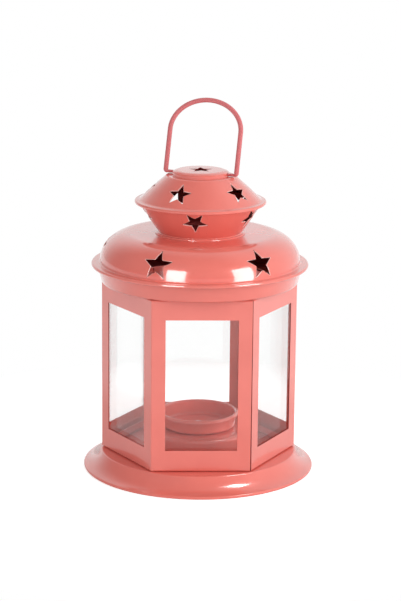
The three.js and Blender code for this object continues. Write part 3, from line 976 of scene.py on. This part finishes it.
WORLD_LIGHT = 0.45
ROOM_DIM = 0.3  # level of the room before and above the lantern, as gloss shows it
BACKDROP = 0.92
BACKDROP_WAY = (0.6, 0.8, 0)  # behind the lantern and to its right
BACKDROP_FROM = -0.1
BACKDROP_TO = 0.45

FLOOR_COLOUR = (0.93, 0.93, 0.93, 1)
FLOOR_HALF = 4000
FLOOR_SQUARES = 8
FLOOR_NEAR = 160  # the floor fades to plain white from here
FLOOR_FAR = 220
FLOOR_GLOW = 0.55  # keeps the floor pale to the eye
FLOOR_UNDER = 50  # under the base the floor is left dark
FLOOR_CLEAR = 64

MIDDLE = (0, 0, 100)
FILL_DISTANCE = 1600
FILL_SIZE = (1200, 1200)
FILLS = {  # azimuth, elevation and watts
    "fill_left": (-40, 30, 4.5),
    "fill_front": (8, 12, 4.5),
    "fill_right": (60, 22, 15),
    "fill_back": (180, 25, 6),
}
ROOF_GLINT_DISTANCE = 40
ROOF_GLINT_RISE = 11
ROOF_GLINTS = {  # angle on the dome's curve, turn round the axis, azimuth, size and watts
    "roof_glint_left": (11.9, -15.3, -29, (26, 36), 0.034),
    "roof_glint_right": (13, 23.1, 49, (28, 42), 0.040),
}


def seen_by(tree, kinds):
    """1 for rays of these kinds, else 0."""
    path = tree.nodes.new("ShaderNodeLightPath")
    total = path.outputs[kinds[0]]
    for kind in kinds[1:]:
        total = combine(tree, "MAXIMUM", total, path.outputs[kind])
    return total


def make_world():
    """White surroundings; in reflections, a white backdrop behind and a dim room before it."""
    world = bpy.data.worlds.new("studio")
    world.use_nodes = True
    tree = world.node_tree
    background = tree.nodes["Background"]
    set_sockets(background, {"Color": WHITE})
    level = spread(tree, seen_by(tree, LOOKS), WORLD_LIGHT, 1, start=0, end=1)
    direction = tree.nodes.new("ShaderNodeTexCoord")
    behind = tree.nodes.new("ShaderNodeVectorMath")
    behind.operation = "DOT_PRODUCT"
    behind.inputs[1].default_value = BACKDROP_WAY
    tree.links.new(direction.outputs["Generated"], behind.inputs[0])
    way = behind.outputs["Value"]
    room = spread(tree, way, ROOM_DIM, BACKDROP, BACKDROP_FROM, BACKDROP_TO)
    path = tree.nodes.new("ShaderNodeLightPath")
    shown = tree.nodes.new("ShaderNodeMix")
    tree.links.new(path.outputs["Is Glossy Ray"], shown.inputs["Factor"])
    tree.links.new(level, shown.inputs["A"])
    tree.links.new(room, shown.inputs["B"])
    tree.links.new(shown.outputs["Result"], background.inputs["Strength"])
    bpy.context.scene.world = world


def make_floor():
    """A pale floor that keeps the shadow near the lantern and turns white away from it."""
    bm = bmesh.new()
    bmesh.ops.create_grid(
        bm, x_segments=FLOOR_SQUARES, y_segments=FLOOR_SQUARES, size=FLOOR_HALF * MM)
    mesh = bpy.data.meshes.new("floor")
    bm.to_mesh(mesh)
    bm.free()
    floor = bpy.data.objects.new("floor", mesh)
    bpy.context.scene.collection.objects.link(floor)
    material, tree, shader = tree_of("floor")
    mesh.materials.append(material)
    set_sockets(shader, {"Base Color": FLOOR_COLOUR, "Emission Color": WHITE})
    set_sockets(shader, {"Roughness": 0.6, "Specular IOR Level": 0.1})
    place = tree.nodes.new("ShaderNodeTexCoord")
    reach = tree.nodes.new("ShaderNodeVectorMath")
    reach.operation = "LENGTH"
    tree.links.new(place.outputs["Object"], reach.inputs[0])
    away = reach.outputs["Value"]
    far = spread(tree, away, 0, 1, FLOOR_NEAR * MM, FLOOR_FAR * MM)
    share = combine(tree, "MULTIPLY", far, seen_by(tree, GLANCES))
    clear = spread(tree, away, 0, FLOOR_GLOW, FLOOR_UNDER * MM, FLOOR_CLEAR * MM)
    glow = combine(tree, "MULTIPLY", clear, seen_by(tree, LOOKS))
    tree.links.new(glow, shader.inputs["Emission Strength"])
    white = tree.nodes.new("ShaderNodeEmission")
    both = tree.nodes.new("ShaderNodeMixShader")
    tree.links.new(share, both.inputs["Fac"])
    tree.links.new(shader.outputs["BSDF"], both.inputs[1])
    tree.links.new(white.outputs["Emission"], both.inputs[2])
    tree.links.new(both.outputs["Shader"], tree.nodes["Material Output"].inputs["Surface"])


def soft_box(name, azimuth, elevation, distance, size, watts, aim=MIDDLE):
    """A lamp aimed from this direction, which neither the camera nor the glass shows."""
    data = bpy.data.lights.new(name, "AREA")
    data.shape = "RECTANGLE"
    data.size, data.size_y = (side * MM for side in size)
    data.energy = watts
    lamp = bpy.data.objects.new(name, data)
    bpy.context.scene.collection.objects.link(lamp)
    a, e = math.radians(azimuth), math.radians(elevation)
    way = Vector((math.sin(a) * math.cos(e), -math.cos(a) * math.cos(e), math.sin(e)))
    lamp.location = (Vector(aim) + way * distance) * MM
    lamp.rotation_euler = way.to_track_quat("Z", "Y").to_euler()
    lamp.visible_camera = False
    lamp.visible_transmission = False
    return lamp


def glint(lamp, name):
    """Lets a lamp show only as a highlight, and on one piece."""
    lamp.visible_diffuse = False
    lamp.light_linking.receiver_collection = bpy.data.collections.new(lamp.name)
    lamp.light_linking.receiver_collection.objects.link(bpy.data.objects[name])


def make_lamps():
    for name, (angle, turn, azimuth, size, watts) in ROOF_GLINTS.items():
        r, z = on_dome(angle)
        aim = spin(turn) @ Vector((0, -r, z))
        lamp = soft_box(name, azimuth, ROOF_GLINT_RISE, ROOF_GLINT_DISTANCE, size, watts, aim)
        glint(lamp, "dome_roof")
    lamp = soft_box(
        "base_glint", azimuth=59, elevation=50, distance=443, size=(150, 110), watts=1.2)
    glint(lamp, "base_saucer")
    for name, (azimuth, elevation, watts) in FILLS.items():
        lamp = soft_box(name, azimuth, elevation, FILL_DISTANCE, FILL_SIZE, watts)
        lamp.visible_glossy = False


make_camera()
make_world()
make_floor()
make_lamps()

bpy.context.scene.view_settings.view_transform = "Standard"
